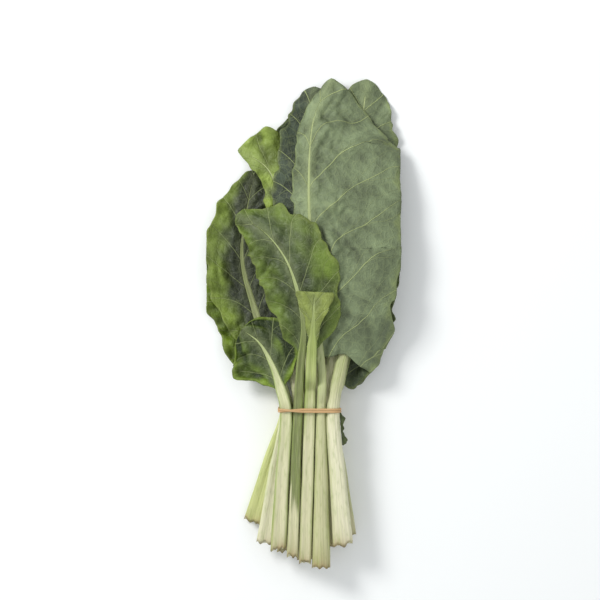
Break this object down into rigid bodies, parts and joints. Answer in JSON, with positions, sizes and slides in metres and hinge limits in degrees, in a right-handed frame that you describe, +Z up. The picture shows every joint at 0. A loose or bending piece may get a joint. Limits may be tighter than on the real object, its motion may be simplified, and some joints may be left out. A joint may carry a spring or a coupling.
{
  "type": "bunch of swiss chard",
  "caption": "Tied bunch of leafy greens lying flat: pale ribbed stalks cut at the base, waved blades with slim midribs, and a doubled rubber band round the stalks.",
  "frame": {"origin": "on the table, under the middle of the bunch's bounding box", "axes": "+X to the right of the bunch, +Y towards the leaf tips, +Z up from the table"},
  "size_m": [0.1831, 0.4577, 0.0513],
  "materials": {
    "leaf_bright": "satin, bright green leaf",
    "leaf_grey": "satin, grey-green leaf",
    "leaf_dark": "satin, dark green leaf",
    "stalk_cream": "moist satin, cream stalk",
    "stalk_green": "moist satin, pale green stalk",
    "band": "matt tan rubber"
  },
  "bodies": {
    "root": {"back_leaf_blade": "leaf_dark", "back_leaf_stalk": "stalk_cream", "west_low_leaf_blade": "leaf_bright", "west_low_leaf_stalk": "stalk_green", "east_back_leaf_blade": "leaf_dark", "east_back_leaf_stalk": "stalk_cream", "east_low_leaf_blade": "leaf_dark", "east_low_leaf_stalk": "stalk_cream", "west_leaf_blade": "leaf_bright", "west_leaf_stalk": "stalk_cream", "west_top_leaf_blade": "leaf_bright", "west_top_leaf_stalk": "stalk_cream", "crown_leaf_blade": "leaf_dark", "crown_leaf_stalk": "stalk_cream", "east_top_leaf_blade": "leaf_grey", "east_top_leaf_stalk": "stalk_cream", "east_leaf_blade": "leaf_grey", "east_leaf_stalk": "stalk_cream", "front_leaf_blade": "leaf_grey", "front_leaf_stalk": "stalk_cream", "south_west_leaf_blade": "leaf_grey", "south_west_leaf_stalk": "stalk_green", "folded_leaf_blade": "leaf_bright", "folded_leaf_stalk": "stalk_green", "young_leaf_blade": "leaf_bright", "young_leaf_stalk": "stalk_green", "band": "band"}
  },
  "joints": []
}
